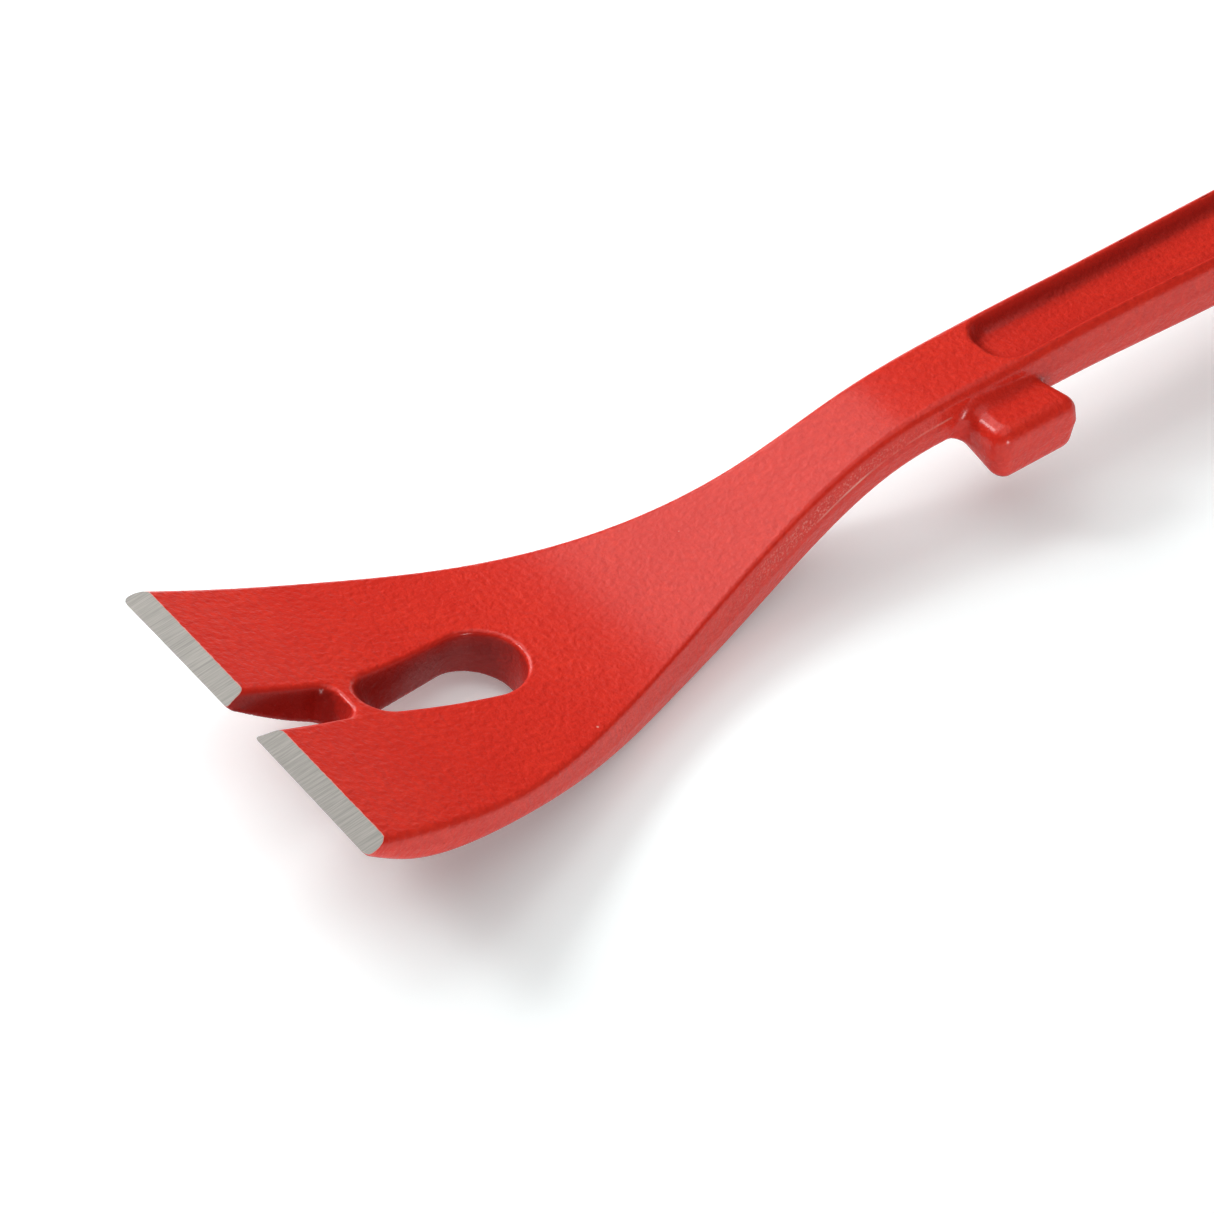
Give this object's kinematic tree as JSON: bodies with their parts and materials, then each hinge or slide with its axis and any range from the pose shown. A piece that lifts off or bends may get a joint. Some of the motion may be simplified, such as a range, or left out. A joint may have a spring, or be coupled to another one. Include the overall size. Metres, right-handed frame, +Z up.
{
  "type": "halligan bar",
  "caption": "Forged forcible entry bar: flared claw with notch and keyhole slot, I-section handle with side lug, and a pinned head with adze and pike.",
  "frame": {"origin": "middle of the underside of the whole tool's box, on the surface the tool lies on", "axes": "+X along the bar from the fork to the head, +Y the way the pike points, away from the lug, +Z up along the adze"},
  "size_m": [0.762, 0.1982, 0.1754],
  "materials": {
    "red_enamel": "satin red enamel on forged steel, with fine orange peel; cutting edges ground bare",
    "spring_steel": "dark oiled spring steel"
  },
  "bodies": {
    "root": {"fork_bar": "red_enamel", "adze_pike_head": "red_enamel", "outer_pin_front": "spring_steel", "inner_pin_front": "spring_steel", "outer_pin_rear": "spring_steel", "inner_pin_rear": "spring_steel"}
  },
  "joints": []
}
